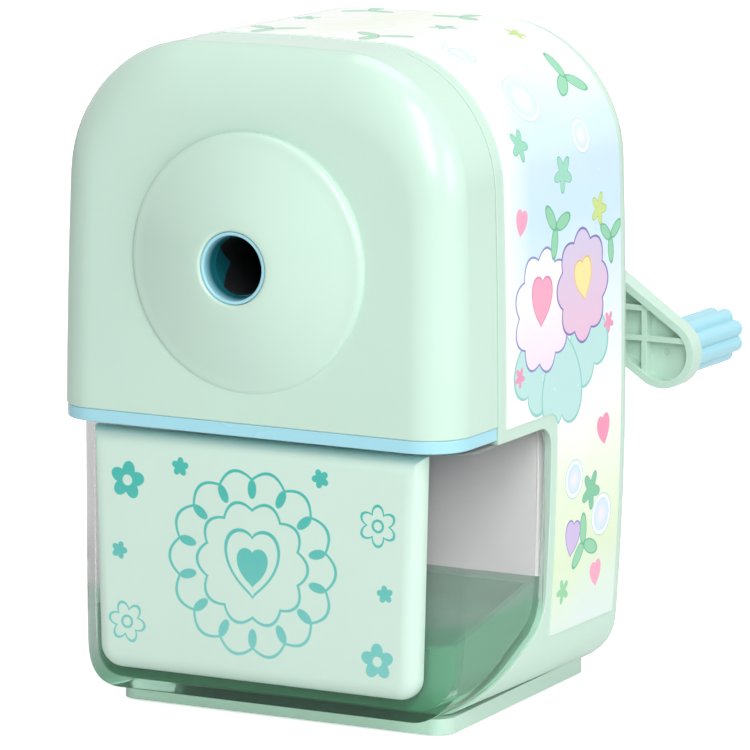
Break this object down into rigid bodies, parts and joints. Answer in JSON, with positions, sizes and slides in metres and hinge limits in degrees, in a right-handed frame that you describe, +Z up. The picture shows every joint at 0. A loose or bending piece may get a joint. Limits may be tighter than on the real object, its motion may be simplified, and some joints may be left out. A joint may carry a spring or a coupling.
{
  "type": "crank pencil sharpener",
  "caption": "Hand-cranked pencil sharpener with a geared helical cutter, a rounded housing, a turning handle at the back and a pull-out clear shavings drawer.",
  "frame": {"origin": "centre of the base's footprint, on the table", "axes": "+X to the right, +Y from the pencil port to the crank, +Z up"},
  "size_m": [0.0725, 0.1004, 0.1042],
  "materials": {
    "mint_abs": "gloss",
    "blue_abs": "gloss",
    "smoke_clear": "gloss",
    "green_tint": "gloss",
    "grey_abs": "satin",
    "black_nylon": "satin",
    "acetal": "satin",
    "film": "gloss",
    "pad": "matte",
    "steel": "satin"
  },
  "bodies": {
    "housing": {"housing_shell": "mint_abs", "front_cover": "mint_abs", "trim_deck": "blue_abs", "bay_panel": "grey_abs", "pencil_guide": "blue_abs", "mechanism_frame": "grey_abs", "ring_gear": "acetal", "inner_bush": "acetal", "rear_bush": "acetal", "wrap_film": "film", "base_plate": "mint_abs", "grip_pad": "pad", "base_screws": "steel", "frame_screws": "steel", "cover_screws": "steel"},
    "drawer": {"drawer_box": "smoke_clear", "drawer_panel": "mint_abs", "shavings_tray": "green_tint"},
    "crank": {"cutter_carrier": "black_nylon", "drive_shaft": "steel", "shaft_pin": "steel", "cutter_axle": "steel", "crank_arm": "mint_abs", "crank_washer": "steel", "crank_screw": "steel", "knob_pin": "steel"},
    "cutter": {"helical_cutter": "steel", "cutter_pinion": "acetal"},
    "handle": {"handle_knob": "blue_abs", "knob_cap": "blue_abs"}
  },
  "joints": [
    {"name": "crank_spin", "type": "hinge", "parent": "housing", "child": "crank", "pos_m": [0, 0, 0.0716], "axis": [0, 1, 0], "continuous": true},
    {"name": "cutter_spin", "type": "hinge", "parent": "crank", "child": "cutter", "pos_m": [0, -0.021, 0.06012], "axis": [0, 0.9816, 0.1908], "continuous": true},
    {"name": "handle_spin", "type": "hinge", "parent": "crank", "child": "handle", "pos_m": [0.03219, 0, 0.04923], "axis": [0, 1, 0], "continuous": true},
    {"name": "drawer_slide", "type": "slide", "parent": "housing", "child": "drawer", "axis": [0, -1, 0], "range_m": [0, 0.032]}
  ],
  "couplings": [
    {"joint": "cutter_spin", "follows": "crank_spin", "ratio": -3}
  ]
}
